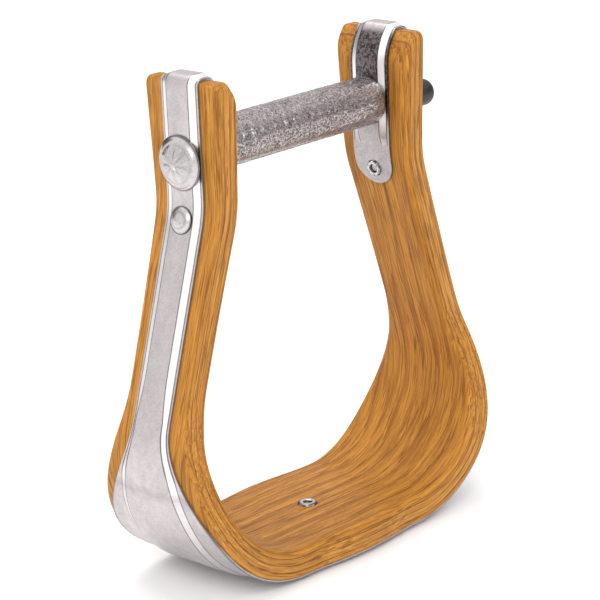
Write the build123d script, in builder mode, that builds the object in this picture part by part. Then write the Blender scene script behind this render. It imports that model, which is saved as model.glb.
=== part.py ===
"""Western bell-bottom stirrup: a bow of bent plies bound with a sheet-metal strip, with a roller on a bolt.

X runs across the bow, -Y is the front, +Z is up. The origin is under the middle of the tread,
on the flat face that the stirrup stands on.
"""
import os
from math import acos, asin, cos, degrees, radians, sin

from build123d import *

# ---- driving dimensions (mm, degrees) ----
neck_gap = 76.2             # clear width between the strip's faces at the neck
ply = 2.3                   # one bent ply
ply_names = ["ply_outer", "ply_outer_core", "ply_inner_core", "ply_inner"]
bend_radius = 43.3          # outside of the wood at the tread's corners
flare = 17.5                # lean of the legs from upright
leg_length = 63.4           # straight part of each leg
shoulder_radius = 32.4      # outside of the wood where the leg turns upright
neck_length = 36.2          # upright straight part at the top

sheet = 0.8                 # strip metal
panel_rise = 1.1            # how far the strip's middle is pressed up
fit_gap = 0.05              # strip to wood

tread_half = 28.0           # half depth of the wood, front to back, in the middle of the tread
corner_half = 26.0          # the same in the bends
waist_half = 13.0           # the same at the narrowest part of the legs
top_half = 16.0             # the same at the top
strip_tread_half = 27.0     # the same four for the strip
strip_corner_half = 25.0
strip_neck_half = 7.9
panel_corner_half = 14.3    # and for the pressed panel
panel_neck_half = 6.0

top_flat = 4.7              # flat on top of each upright
top_round = 16.7            # rounding from the flat down to the inner face
top_corner = 4.0            # rounded corners of the uprights in side view
outer_corner = 1.4          # rounding where the strip bends over the top
inner_edge = 2.6            # roundover of the wood's inner edges, front and back

bolt_drop = 25.6            # bolt axis below the wood's top
bolt_radius = 3.97          # 5/16 in bolt
bolt_clearance = 0.08
head_radius = 8.75
head_rim = 1.0
head_height = 3.9
thread_end = 17.0           # bolt end beyond the wood
thread_chamfer = 0.8
roller_radius = 8.2
roller_wall = 1.5
roller_end_gap = 0.3
roller_play = 0.05          # roller's bore clear of the bolt
seam_width = 0.4
seam_angle = 235            # place of the roller's seam, seen from +X

washer_radius = 8.73
washer_hole = 4.3
washer_height = 1.2
nut_flats = 12.7
nut_height = 4.2
collar_height = 1.8
collar_radius = 5.6
ring_radius = 4.9           # nylon ring inside the nut's collar
ring_height = 1.6
cap_radius = 4.65
cap_end = 19.6              # tip of the cap beyond the wood
cap_gap = 0.3               # nut to cap
cap_play = 0.04

rivet_angle = 14.0          # rivet's slope, measured round the shoulder
tab_leg = 0.951             # part of the leg's straight length that the strip leaves bare inside
panel_turn = 15.5           # part of the shoulder's turn that the pressed panel leaves flat inside
rivet_radius = 2.0
rivet_play = 0.05
rivet_head_radius = 4.45
rivet_head_height = 1.7
rivet_stand_off = 0.35      # flat head across the hollow of the shoulder
rivet_bore = 1.1
rivet_bore_depth = 5.0
clinch_radius = 2.95
clinch_height = 0.9
tread_clinch_radius = 3.35
tread_head_radius = 3.6

# ---- sizes that follow ----
wood = ply * len(ply_names)
skin = fit_gap + sheet              # outer face of the strip, from the wood
panel_skin = skin + panel_rise      # outer face of its pressed panel, from the wood
wood_bottom = panel_skin
inner_x = neck_gap / 2 + sheet
outer_x = inner_x + wood
seat_x = outer_x + panel_skin       # face that the bolt head and the washer bear on
lean = radians(flare)
shoulder_x = outer_x + shoulder_radius
flat_half = (
    shoulder_x - shoulder_radius * cos(lean) + leg_length * sin(lean) - bend_radius * cos(lean)
)
shoulder_z = (
    wood_bottom + bend_radius * (1 + sin(lean)) + leg_length * cos(lean) + shoulder_radius * sin(lean)
)
top_z = shoulder_z + neck_length
top_turn = degrees(acos(1 - (wood - top_flat) / top_round))
top_drop = top_round * sin(radians(top_turn))
bolt_z = top_z - bolt_drop
bolt_axis = Axis((0, 0, bolt_z), (1, 0, 0))
roller_half = inner_x - panel_skin - roller_end_gap
roller_z = bolt_z + roller_radius - roller_wall - bolt_radius - roller_play
reach = 90.0                        # half size of the blocks that the bow is cut from


def bow_line(depth, leg_part=1.0, turned=flare):
    """Half the bow, depth inside the wood's outside face, from the tread's middle up to the shoulder."""
    tread = Line((0, wood_bottom + depth), (flat_half, wood_bottom + depth))
    bend = JernArc(tread @ 1, tread % 1, bend_radius - depth, 90 + flare)
    leg = PolarLine(bend @ 1, leg_length * leg_part, direction=bend % 1)
    if not turned:
        return leg
    return JernArc(leg @ 1, leg % 1, shoulder_radius + depth, -turned)


def ply_front(outer_depth, inner_depth):
    """Front view of the bow between two depths, square at the top, drawn behind the bow."""
    with BuildSketch(Plane.XZ.offset(-reach)) as front:
        with BuildLine():
            outside = bow_line(outer_depth)
            inside = bow_line(inner_depth)
            Polyline(outside @ 1, ((outside @ 1).X, top_z), ((inside @ 1).X, top_z), inside @ 1)
            Line((0, wood_bottom + outer_depth), (0, wood_bottom + inner_depth))
        make_face()
        mirror(about=Plane.YZ)
    return front.sketch


def rounded_front():
    """Front view of the finished wood: each upright has a flat top, rounded down to the inner face."""
    with BuildSketch(Plane.XZ.offset(-reach)) as front:
        with BuildLine():
            outside = bow_line(0)
            inside = bow_line(wood)
            crown = JernArc((inner_x, top_z - top_drop), (0, 1), top_round, -top_turn)
            Line(inside @ 1, crown @ 0)
            corner = JernArc((outer_x, top_z - outer_corner), (0, 1), outer_corner, 90)
            Line(outside @ 1, corner @ 0)
            Line(corner @ 1, crown @ 1)
            Line((0, wood_bottom), (0, wood_bottom + wood))
        make_face()
        mirror(about=Plane.YZ)
    return front.sketch


def strip_front(wood_front, near, far, leg_part, turned):
    """Front view of a layer of the strip, hugging the wood over the top; the rest says where it ends inside."""
    with BuildSketch(Plane.XZ.offset(-reach)) as boot_space:
        with BuildLine():
            middle = bow_line(wood / 2, leg_part, turned)
            end = middle @ 1
            inward = (middle % 1).rotate(Axis.Z, 90) * wood * 2
            Polyline(end, end + inward, (0, (end + inward).Y), (0, wood_bottom + wood / 2))
        make_face()
        mirror(about=Plane.YZ)
    outer = offset(wood_front, amount=far, kind=Kind.ARC)
    inner = offset(wood_front, amount=near, kind=Kind.ARC)
    return outer - inner - boot_space.sketch


def width_block(middle, corner, waist, top, swell_start, swell_end, height, rounding=0.0):
    """Block as deep, front to back, as the bow's side view: wide at the tread, narrow at the waist."""
    swell = (swell_end - swell_start) / 3
    with BuildPart() as block:
        with BuildSketch(Plane.YZ.offset(-reach)) as side:
            with BuildLine():
                Polyline((0, -5), (middle + 2, -5), (middle + 2, swell_start), (corner, swell_start))
                Bezier(
                    (corner, swell_start), (corner, swell_start + swell),
                    (waist, swell_end - swell), (waist, swell_end),
                )
                Bezier(
                    (waist, swell_end), (waist, swell_end + 34),
                    ((top + waist) / 2, height - 34), (top, height),
                )
                Polyline((top, height), (0, height), (0, -5))
            make_face()
            mirror(about=Plane.YZ)
            if rounding:
                fillet(side.vertices().group_by(Axis.Y)[-1].filter_by(lambda v: abs(v.X) > 1), rounding)
        extrude(amount=2 * reach)
        with BuildSketch(Plane.XY.offset(-5)):
            with BuildLine():
                Polyline((reach, 0), (0, 0), (0, middle))
                Bezier((0, middle), (flat_half * 0.45, middle), (flat_half * 0.6, corner), (flat_half, corner))
                Polyline((flat_half, corner), (reach, corner), (reach, 0))
            make_face()
            mirror(about=Plane.YZ)
            mirror(about=Plane.XZ)
        extrude(amount=height + 10, mode=Mode.INTERSECT)
    return block.part


def side_edges(part, depth):
    """Edges along the part's front and back that follow the bow's face at this depth."""
    with BuildLine(Plane.XZ, mode=Mode.PRIVATE) as face_line:
        end = bow_line(depth)
        Line(end @ 1, ((end @ 1).X, top_z))
    spots = (0.1, 0.5, 0.9)
    return part.edges().filter_by(
        lambda edge: all(
            abs((edge @ spot).Y) > 1
            and face_line.line.distance_to(Vertex(abs((edge @ spot).X), 0, (edge @ spot).Z)) < 0.02
            for spot in spots
        )
    )


def plane_across(x):
    """Plane across the bolt at this x, facing +X, its own x along Y."""
    return Plane((x, 0, bolt_z), x_dir=(0, 1, 0), z_dir=(1, 0, 0))


def shoulder_plane(side, depth):
    """Plane on the outside of a shoulder, depth into the wood, facing in along its rivet; side is 1 or -1."""
    slope = radians(rivet_angle)
    radius = shoulder_radius + depth
    place = (side * (shoulder_x - radius * cos(slope)), 0, shoulder_z - radius * sin(slope))
    return Plane(origin=place, x_dir=(0, 1, 0), z_dir=(-side * cos(slope), 0, -sin(slope)))


def dome(rim, height):
    """Radius of a round dome with this rim radius and height, and the angle from its tip to its rim."""
    radius = (rim**2 + height**2) / (2 * height)
    return radius, degrees(asin(rim / radius))


def turned_rivet(seat, domed, grip, clinch):
    """Tubular rivet: domed or let-in head, shank of this grip in from its seat, end rolled over to clinch."""
    foot = grip - rivet_bore_depth
    with BuildPart() as rivet:
        with BuildSketch(Plane(origin=seat.origin, x_dir=seat.x_dir, z_dir=-seat.y_dir)):
            with BuildLine():
                if domed:
                    head = JernArc((0, -rivet_head_height), (1, 0), *dome(rivet_head_radius, rivet_head_height))
                    Polyline(head @ 1, (rivet_radius, 0), (rivet_radius, grip))
                else:
                    head = Polyline((0, rivet_play), (tread_head_radius, rivet_play), (rivet_radius, skin))
                    Line((rivet_radius, skin), (rivet_radius, grip))
                Line((rivet_radius, grip), (clinch, grip))
                ThreePointArc((clinch, grip), ((clinch + rivet_bore) / 2, grip + clinch_height), (rivet_bore, grip))
                Polyline((rivet_bore, grip), (rivet_bore, foot), (0, foot - rivet_bore), head @ 0)
            make_face()
        revolve(axis=Axis(seat.origin, seat.z_dir))
    return rivet.part


# ---- holes that go through wood and strip alike ----
with BuildPart() as drillings:
    with Locations(plane_across(0)):
        Cylinder(bolt_radius + bolt_clearance, 2 * reach)
    with Locations(shoulder_plane(1, wood / 2), shoulder_plane(-1, wood / 2), Plane.XY.offset(wood)):
        Cylinder(rivet_radius + rivet_play, 3 * wood)

# ---- the bow: one block of wood, rounded, drilled, then cut into its plies ----
wood_front = rounded_front()
wood_block = width_block(tread_half, corner_half, waist_half, top_half, 16, 70, top_z, top_corner)
with BuildPart() as bow:
    extrude(wood_front, amount=2 * reach)
    add(wood_block, mode=Mode.INTERSECT)
    fillet(side_edges(bow.part, wood), radius=inner_edge)
    add(drillings.part, mode=Mode.SUBTRACT)

os.makedirs("parts", exist_ok=True)
for number, ply_name in enumerate(ply_names):
    ring = ply_front(number * ply, (number + 1) * ply)
    with BuildPart() as bent_ply:
        extrude(ring, amount=2 * reach)
        add(bow.part, mode=Mode.INTERSECT)
    bent_ply.part.label = ply_name
    export_step(bent_ply.part, f"parts/{ply_name}.step")

# ---- binding strip: sheet hugging the wood, its middle pressed up hollow, tabs rounded, drilled ----
panel_front = strip_front(wood_front, fit_gap, panel_skin, 1.0, panel_turn)
panel_block = width_block(
    panel_corner_half, panel_corner_half, panel_neck_half, panel_neck_half, 17, 75, top_z + 5
)
with BuildPart() as pressed_panel:
    extrude(panel_front, amount=2 * reach)
    add(panel_block, mode=Mode.INTERSECT)

hollow_front = strip_front(wood_front, fit_gap, fit_gap + panel_rise, 1.0, panel_turn + 1)
hollow_block = width_block(
    panel_corner_half - sheet, panel_corner_half - sheet,
    panel_neck_half - sheet, panel_neck_half - sheet, 17, 75, top_z + 5,
)
with BuildPart() as hollow:
    extrude(hollow_front, amount=2 * reach)
    add(hollow_block, mode=Mode.INTERSECT)

sheet_front = strip_front(wood_front, fit_gap, skin, tab_leg, 0)
sheet_block = width_block(
    strip_tread_half, strip_corner_half, strip_neck_half, strip_neck_half, 15, 60, top_z + 5
)
with BuildPart() as binding_strip:
    extrude(sheet_front, amount=2 * reach)
    add(sheet_block, mode=Mode.INTERSECT)
    tab_corners = binding_strip.edges().filter_by(
        lambda edge: edge.length < 1 and shoulder_z - 20 < edge.center().Z < shoulder_z
    )
    fillet(tab_corners, radius=strip_neck_half - 0.1)
    add(pressed_panel.part)
    add(hollow.part, mode=Mode.SUBTRACT)
    add(drillings.part, mode=Mode.SUBTRACT)
    with BuildSketch(Plane.XZ):
        with BuildLine():
            Polyline(
                (0, -1), (tread_head_radius + 3 * rivet_play, -1), (tread_head_radius + 3 * rivet_play, 0),
                (rivet_radius + 3 * rivet_play, sheet), (0, sheet), (0, -1),
            )
        make_face()
    revolve(axis=Axis.Z, mode=Mode.SUBTRACT)
binding_strip.part.label = "binding_strip"
export_step(binding_strip.part, "parts/binding_strip.step")

# ---- neck rivets, one in each shoulder: domed heads outside, ends rolled over on the strip's tabs ----
head_depth = -panel_skin - rivet_stand_off
for rivet_name, side in (("near_neck_rivet", -1), ("off_neck_rivet", 1)):
    neck_rivet = turned_rivet(shoulder_plane(side, head_depth), True, wood + skin - head_depth, clinch_radius)
    neck_rivet.label = rivet_name
    export_step(neck_rivet, f"parts/{rivet_name}.step")

# ---- tread rivet: head let in flush under the tread, its end rolled over on top of the wood ----
tread_rivet = turned_rivet(Plane.XY, False, wood_bottom + wood, tread_clinch_radius)
tread_rivet.label = "tread_rivet"
export_step(tread_rivet, "parts/tread_rivet.step")

# ---- stirrup bolt: domed head on the near side, shank right across, chamfered thread end ----
bolt_end = outer_x + thread_end
with BuildPart() as stirrup_bolt:
    with BuildSketch(Plane.XZ):
        with BuildLine():
            radius, sweep_angle = dome(head_radius, head_height - head_rim)
            crown = JernArc((-seat_x - head_height, bolt_z), (0, 1), radius, -sweep_angle)
            Polyline(crown @ 1, (-seat_x, bolt_z + head_radius), (-seat_x, bolt_z), crown @ 0)
        make_face()
    revolve(axis=bolt_axis)
    with BuildSketch(plane_across(-seat_x)):
        Circle(bolt_radius)
    extrude(amount=bolt_end + seat_x)
    chamfer(stirrup_bolt.edges().sort_by(Axis.X)[-1], length=thread_chamfer)
stirrup_bolt.part.label = "stirrup_bolt"
export_step(stirrup_bolt.part, "parts/stirrup_bolt.step")

# ---- roller: sheet rolled into a tube with an open seam, loose on the bolt ----
with BuildPart() as roller:
    with BuildSketch(Plane((-roller_half, 0, roller_z), x_dir=(0, 1, 0), z_dir=(1, 0, 0))):
        Circle(roller_radius)
        Circle(roller_radius - roller_wall, mode=Mode.SUBTRACT)
        with PolarLocations(roller_radius, 1, start_angle=seam_angle):
            Rectangle(3 * roller_wall, seam_width, mode=Mode.SUBTRACT)
    extrude(amount=2 * roller_half)
roller.part.label = "roller"
export_step(roller.part, "parts/roller.step")


# ---- washer, lock nut with its nylon ring, and the rubber cap, on the thread end ----
with BuildPart() as flat_washer:
    with BuildSketch(plane_across(seat_x)):
        Circle(washer_radius)
        Circle(washer_hole, mode=Mode.SUBTRACT)
    extrude(amount=washer_height)
flat_washer.part.label = "flat_washer"
export_step(flat_washer.part, "parts/flat_washer.step")

nut_x = seat_x + washer_height
collar_end = nut_x + nut_height + collar_height
with BuildPart() as lock_nut:
    with BuildSketch(plane_across(nut_x)):
        RegularPolygon(nut_flats / 2, 6, major_radius=False, rotation=0)
    extrude(amount=nut_height)
    with BuildSketch(plane_across(nut_x + nut_height)):
        Circle(collar_radius)
    extrude(amount=collar_height)
    with BuildSketch(plane_across(collar_end - ring_height)):
        Circle(ring_radius)
    extrude(amount=ring_height, mode=Mode.SUBTRACT)
    with BuildSketch(plane_across(nut_x)):
        Circle(bolt_radius + bolt_clearance)
    extrude(amount=nut_height + collar_height, mode=Mode.SUBTRACT)
lock_nut.part.label = "lock_nut"
export_step(lock_nut.part, "parts/lock_nut.step")

with BuildPart() as lock_ring:
    with BuildSketch(plane_across(collar_end - ring_height)):
        Circle(ring_radius)
        Circle(bolt_radius + bolt_clearance, mode=Mode.SUBTRACT)
    extrude(amount=ring_height)
lock_ring.part.label = "lock_ring"
export_step(lock_ring.part, "parts/lock_ring.step")

cap_start = collar_end + cap_gap
cap_tip = outer_x + cap_end
with BuildPart() as thread_cap:
    with BuildSketch(plane_across(cap_start)):
        Circle(cap_radius)
    extrude(amount=cap_tip - cap_start)
    fillet(thread_cap.faces().sort_by(Axis.X)[-1].edges(), radius=cap_radius * 0.7)
    with BuildSketch(plane_across(cap_start)):
        Circle(bolt_radius + cap_play)
    extrude(amount=bolt_end + cap_gap - cap_start, mode=Mode.SUBTRACT)
thread_cap.part.label = "thread_cap"
export_step(thread_cap.part, "parts/thread_cap.step")
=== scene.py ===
from functools import partial
from math import acos, atan2, cos, pi, radians, sin, sqrt

import bmesh
import bpy
import numpy as np
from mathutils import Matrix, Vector, noise


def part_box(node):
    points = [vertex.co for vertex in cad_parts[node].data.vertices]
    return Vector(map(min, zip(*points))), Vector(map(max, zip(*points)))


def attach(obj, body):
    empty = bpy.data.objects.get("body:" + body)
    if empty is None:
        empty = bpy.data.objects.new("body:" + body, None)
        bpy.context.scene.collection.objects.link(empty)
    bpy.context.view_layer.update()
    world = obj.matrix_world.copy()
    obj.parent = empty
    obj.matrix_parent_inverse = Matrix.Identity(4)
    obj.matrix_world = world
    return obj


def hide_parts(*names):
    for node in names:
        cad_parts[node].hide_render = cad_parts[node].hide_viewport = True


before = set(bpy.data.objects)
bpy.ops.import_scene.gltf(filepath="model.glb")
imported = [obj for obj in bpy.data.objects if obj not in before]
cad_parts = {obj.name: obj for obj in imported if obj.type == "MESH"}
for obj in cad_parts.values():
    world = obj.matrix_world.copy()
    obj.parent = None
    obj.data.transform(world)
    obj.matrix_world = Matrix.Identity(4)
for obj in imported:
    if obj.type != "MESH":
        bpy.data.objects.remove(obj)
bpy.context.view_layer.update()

scene = bpy.context.scene

# ---- the studio: camera, lamps and a plain floor ----
# A long lens from the front left, a little above the stirrup. A white sheet lies under it, and three
# large soft boxes light it. The room is pale, with a dark wall behind and a dark doorway on the right.
lens_angle = dict(azimuth=-46.78, elevation=17.61, roll=-2.42)
camera = bpy.data.objects.new("camera", bpy.data.cameras.new("camera"))
camera.location = (-0.5844, -0.5512, 0.33245)
camera.rotation_euler = (radians(90 - lens_angle["elevation"]), 0, radians(lens_angle["azimuth"]))
camera.rotation_euler.rotate_axis("Z", radians(lens_angle["roll"]))
camera.data.lens = 155.0
camera.data.shift_x = -0.0066
camera.data.shift_y = 0.0233
camera.data.clip_start = 0.01
scene.collection.objects.link(camera)
scene.camera = camera


def fit_node(tree, kind, feeds=None, **settings):
    """Adds a node; feeds gives its inputs, by name or number, another node's output or a plain value."""
    made = tree.nodes.new(kind)
    for name, value in settings.items():
        setattr(made, name, value)
    for socket, value in (feeds or {}).items():
        if isinstance(value, bpy.types.NodeSocket):
            tree.links.new(value, made.inputs[socket])
        else:
            made.inputs[socket].default_value = value
    return made


def new_material(name):
    """An empty material: its node tree, its Principled shader and the material."""
    made = bpy.data.materials.new(name)
    made.use_nodes = True
    made.node_tree.nodes.clear()
    shader = fit_node(made.node_tree, "ShaderNodeBsdfPrincipled")
    fit_node(made.node_tree, "ShaderNodeOutputMaterial", {"Surface": shader.outputs[0]})
    return made.node_tree, shader, made


def math_node(tree, operation, *values, clamp=False):
    """One sum, with sockets or numbers."""
    made = fit_node(tree, "ShaderNodeMath", dict(enumerate(values)), operation=operation, use_clamp=clamp)
    return made.outputs[0]


def vector_node(tree, operation, *values):
    """One sum with vectors, with sockets or plain values."""
    made = fit_node(tree, "ShaderNodeVectorMath", dict(enumerate(values)), operation=operation)
    return made.outputs["Value" if operation == "DOT_PRODUCT" else "Vector"]


def remap(tree, value, low, high, new_low=0.0, new_high=1.0, kind="SMOOTHSTEP"):
    """Stretches value from low..high to new_low..new_high, held at the ends."""
    return fit_node(tree, "ShaderNodeMapRange", {0: value, 1: low, 2: high, 3: new_low, 4: new_high},
                    interpolation_type=kind).outputs[0]


def blend_colours(tree, amount, first, second):
    """Mixes two colours."""
    return fit_node(tree, "ShaderNodeMix", {0: amount, 6: first, 7: second}, data_type="RGBA").outputs[2]


def noise_node(tree, place, scale, detail=3.0, rough=0.5):
    """Even noise; scale is per metre."""
    return fit_node(tree, "ShaderNodeTexNoise",
                    {"Vector": place, "Scale": scale, "Detail": detail, "Roughness": rough}).outputs["Fac"]


def stretched_noise(tree, place, scale, detail=3.0, rough=0.55, twist=0.0):
    """Noise drawn out along the length; scale is per metre along, across and in."""
    return fit_node(tree, "ShaderNodeTexNoise",
                    {"Vector": vector_node(tree, "MULTIPLY", place, scale), "Scale": 1.0, "Detail": detail,
                     "Roughness": rough, "Distortion": twist}).outputs["Fac"]


def object_place(tree):
    """Where a point is, in the piece's own coordinates."""
    return fit_node(tree, "ShaderNodeTexCoord").outputs["Object"]


def read_mark(tree, name, output="Fac"):
    """An attribute that the mesh carries."""
    return fit_node(tree, "ShaderNodeAttribute", attribute_name=name).outputs[output]


def roughen(tree, shader, height, strength, distance):
    """Fine relief, as bump."""
    bump = fit_node(tree, "ShaderNodeBump", {"Height": height, "Strength": strength, "Distance": distance})
    tree.links.new(bump.outputs[0], shader.inputs["Normal"])


def skin_material(name, group, feeds, strength, distance, flat_pattern=True):
    """A material from a shader group; flat_pattern lays the pattern out along a bent piece."""
    tree, shader, made = new_material(name)
    feeds["Place"] = read_mark(tree, "flat_place", "Vector") if flat_pattern else object_place(tree)
    skin_node = fit_node(tree, "ShaderNodeGroup", feeds, node_tree=group)
    tree.links.new(skin_node.outputs["Color"], shader.inputs["Base Color"])
    tree.links.new(skin_node.outputs["Roughness"], shader.inputs["Roughness"])
    roughen(tree, shader, skin_node.outputs["Height"], strength, distance)
    return shader, made


tree, shader, paper = new_material("white_paper")
mottle = noise_node(tree, object_place(tree), 9.0, 2.0)
paper_white = blend_colours(tree, mottle, (0.90, 0.90, 0.90, 1), (0.95, 0.95, 0.95, 1))
tree.links.new(paper_white, shader.inputs["Base Color"])
shader.inputs["Roughness"].default_value = 0.9
sheet_reach, sheet_drop = 4, 6e-5
sheet_signs = ((-1, -1), (1, -1), (1, 1), (-1, 1))
sheet_corners = [(x * sheet_reach, y * sheet_reach, -sheet_drop) for x, y in sheet_signs]
sheet_mesh = bpy.data.meshes.new("paper_sheet")
sheet_mesh.from_pydata(sheet_corners, [], [(0, 1, 2, 3)])
sheet_mesh.materials.append(paper)
floor = bpy.data.objects.new("paper_sheet", sheet_mesh)
scene.collection.objects.link(floor)

scene.view_settings.view_transform = "Standard"
scene.world = bpy.data.worlds.new("soft_room")
scene.world.use_nodes = True
room = scene.world.node_tree
outward = fit_node(room, "ShaderNodeTexCoord").outputs["Generated"]


def room_side(direction, low, high, new_low, new_high):
    """Brightness of the room by how nearly it lies in this direction."""
    near = vector_node(room, "DOT_PRODUCT", outward, direction)
    return remap(room, near, low, high, new_low, new_high, "LINEAR")


window_light = room_side((-0.55, 0.25, 0.80), -0.7, 0.8, 0.86, 1.10)
wall_shade = room_side((0.16, 0.98, 0.12), 0.80, 0.95, 1.0, 0.12)
door_shade = room_side((0.72, -0.68, 0.12), 0.78, 0.95, 1.0, 0.06)
room_light = math_node(room, "MULTIPLY", window_light, math_node(room, "MULTIPLY", wall_shade, door_shade))
room.nodes["Background"].inputs["Color"].default_value = (1.0, 0.985, 0.985, 1)
room.links.new(room_light, room.nodes["Background"].inputs["Strength"])

for lamp_name, place, width, watts in (
    ("left_soft_box", (-1.0, -0.75, 1.05), 0.7, 9.0),
    ("right_soft_box", (0.75, -1.3, 0.75), 0.7, 5.0),
    ("top_soft_box", (0.1, 0.45, 1.5), 0.9, 8.0),
):
    lamp = bpy.data.objects.new(lamp_name, bpy.data.lights.new(lamp_name, "AREA"))
    lamp.data.shape = "SQUARE"
    lamp.data.size = width
    lamp.data.energy = watts
    lamp.location = place
    lamp.rotation_euler = (Vector(place) - Vector((0, 0, 0.08))).to_track_quat("Z", "Y").to_euler()
    scene.collection.objects.link(lamp)

# ---- the bow: four bent plies ----
# Four layers of oak are cut flat to their tapering width, glued together and bent round a form in
# one go, then the top ends are rounded, the inner edges softened and the whole is lacquered.
ply = 0.0023
ply_names = ["ply_outer", "ply_outer_core", "ply_inner_core", "ply_inner"]
wood = ply * len(ply_names)
wood_bottom = 0.00195
bend_radius = 0.0433
lean = radians(17.5)
leg_length = 0.0634
shoulder_radius = 0.0324
neck_length = 0.0362
outer_x = 0.0481
shoulder_x = outer_x + shoulder_radius
flat_half = shoulder_x - (shoulder_radius + bend_radius) * cos(lean) + leg_length * sin(lean)
leg_bottom_z = wood_bottom + bend_radius * (1 + sin(lean))
shoulder_z = leg_bottom_z + leg_length * cos(lean) + shoulder_radius * sin(lean)
top_z = shoulder_z + neck_length
top_flat, top_round, top_corner = 0.0047, 0.0167, 0.0027
outer_corner, outer_edge, inner_edge = 0.0014, 0.0012, 0.0026
glue_groove = 0.00006
top_turn = acos(1 - (wood - top_flat) / top_round)
top_drop = top_round * sin(top_turn)
bolt_drop = 0.0256
bolt_z = top_z - bolt_drop
bolt_hole = 0.00405

# Each run is a length and the angle that it turns through, from the middle of the tread.
bow_runs = [
    (flat_half, 0.0), (bend_radius * (pi / 2 + lean), pi / 2 + lean), (leg_length, 0.0),
    (shoulder_radius * lean, -lean), (neck_length, 0.0),
]
bow_length = sum(length for length, turn in bow_runs)


def follow(runs, along):
    """Place and heading this far along the runs, mirrored for a negative length."""
    side = -1 if along < 0 else 1
    along = abs(along)
    x, z, heading = 0.0, wood_bottom, 0.0
    for number, (length, turn) in enumerate(runs):
        part = along if number == len(runs) - 1 else min(along, length)
        if turn:
            radius = length / turn
            x += radius * (sin(heading + part / radius) - sin(heading))
            z -= radius * (cos(heading + part / radius) - cos(heading))
            heading += part / radius
        else:
            x += part * cos(heading)
            z += part * sin(heading)
        along -= part
        if along <= 0:
            break
    return side * x, z, heading


def bezier(points, count=50):
    """Points along a cubic curve, as an array."""
    part = np.linspace(0, 1, count)[:, None]
    a, b, c, d = (np.array(point, float) for point in points)
    return (1 - part)**3 * a + 3 * part * (1 - part)**2 * b + 3 * part**2 * (1 - part) * c + part**3 * d


def width_rule(middle, corner, waist, top, swell_start, swell_end, height):
    """Half width of a layer by its place: wide at the tread, narrow at the waist, wider at the top."""
    swell = (swell_end - swell_start) / 3
    rise = 0.034
    lower = [(corner, swell_start), (corner, swell_start + swell), (waist, swell_end - swell),
             (waist, swell_end)]
    upper = [(waist, swell_end), (waist, swell_end + rise), ((top + waist) / 2, height - rise),
             (top, height)]
    side = np.vstack([bezier(lower), bezier(upper)])
    plan = bezier([(middle, 0), (middle, flat_half * 0.45), (corner, flat_half * 0.6), (corner, flat_half)])

    def half(x, z):
        across = np.interp(abs(x), plan[:, 1], plan[:, 0])
        return float(across if z < swell_start else min(across, np.interp(z, side[:, 1], side[:, 0])))
    return half


def add_mark(mesh, name, values):
    """Gives the mesh an attribute with one value a point."""
    mesh.attributes.new(name, "FLOAT", "POINT").data.foreach_set("value", values)


def lattice(name, layers, rows, columns, place, marks=None):
    """Closed mesh of the skin of a block of points; marks gives attributes by name and their values."""
    points, faces, numbers = [], [], {}

    def corner(spot):
        if spot not in numbers:
            numbers[spot] = len(points)
            points.append(place(*spot))
        return numbers[spot]

    last = (layers - 1, rows - 1, columns - 1)
    for fixed in range(3):
        first, second = [axis for axis in range(3) if axis != fixed]
        for end in (0, last[fixed]):
            for i in range(last[first]):
                for j in range(last[second]):
                    ring = []
                    for step_i, step_j in ((0, 0), (1, 0), (1, 1), (0, 1)):
                        spot = [0, 0, 0]
                        spot[fixed], spot[first], spot[second] = end, i + step_i, j + step_j
                        ring.append(corner(tuple(spot)))
                    faces.append(ring)
    made = bpy.data.meshes.new(name)
    made.from_pydata(points, [], faces)
    for label, value_at in (marks or {}).items():
        add_mark(made, label, [value_at(*spot) for spot in numbers])
    return made


def close_up(mesh, crease=32):
    """Merges doubles, turns every face outwards and shades smooth except across hard creases."""
    work = bmesh.new()
    work.from_mesh(mesh)
    bmesh.ops.remove_doubles(work, verts=work.verts, dist=2e-7)
    bmesh.ops.dissolve_degenerate(work, edges=work.edges, dist=1e-8)
    bmesh.ops.recalc_face_normals(work, faces=work.faces)
    work.to_mesh(mesh)
    work.free()
    mesh.polygons.foreach_set("use_smooth", [True] * len(mesh.polygons))
    mesh.set_sharp_from_angle(angle=radians(crease))


def form_curve(name, points):
    """A form to bend something round, as a curve of short straight runs."""
    made = bpy.data.curves.new(name, "CURVE")
    made.dimensions = "3D"
    line = made.splines.new("POLY")
    line.points.add(len(points) - 1)
    for point, spot in zip(line.points, points):
        point.co = (*spot, 1)
    form = bpy.data.objects.new(name, made)
    scene.collection.objects.link(form)
    return form


def form_of_runs(name, runs, reach, count):
    """A form along the runs, this far out on both sides."""
    spots = [follow(runs, along) for along in np.linspace(-reach, reach, count)]
    return form_curve(name, [(x, 0, z) for x, z, heading in spots])


def split_runs(runs, steps_of):
    """Stations from the middle outwards, each run in equal steps."""
    stations = [0.0]
    for (length, turn), steps in zip(runs, steps_of):
        start = stations[-1]
        stations += [start + length * step / steps for step in range(1, steps + 1)]
    return stations


def new_tree(name, sockets):
    """A Geometry Nodes tree with these named inputs besides its mesh, and its group input node."""
    made = bpy.data.node_groups.new(name, "GeometryNodeTree")
    made.interface.new_socket("Mesh", in_out="INPUT", socket_type="NodeSocketGeometry")
    for label, kind in sockets:
        made.interface.new_socket(label, in_out="INPUT", socket_type=kind)
    made.interface.new_socket("Mesh", in_out="OUTPUT", socket_type="NodeSocketGeometry")
    return made, made.nodes.new("NodeGroupInput")


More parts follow.
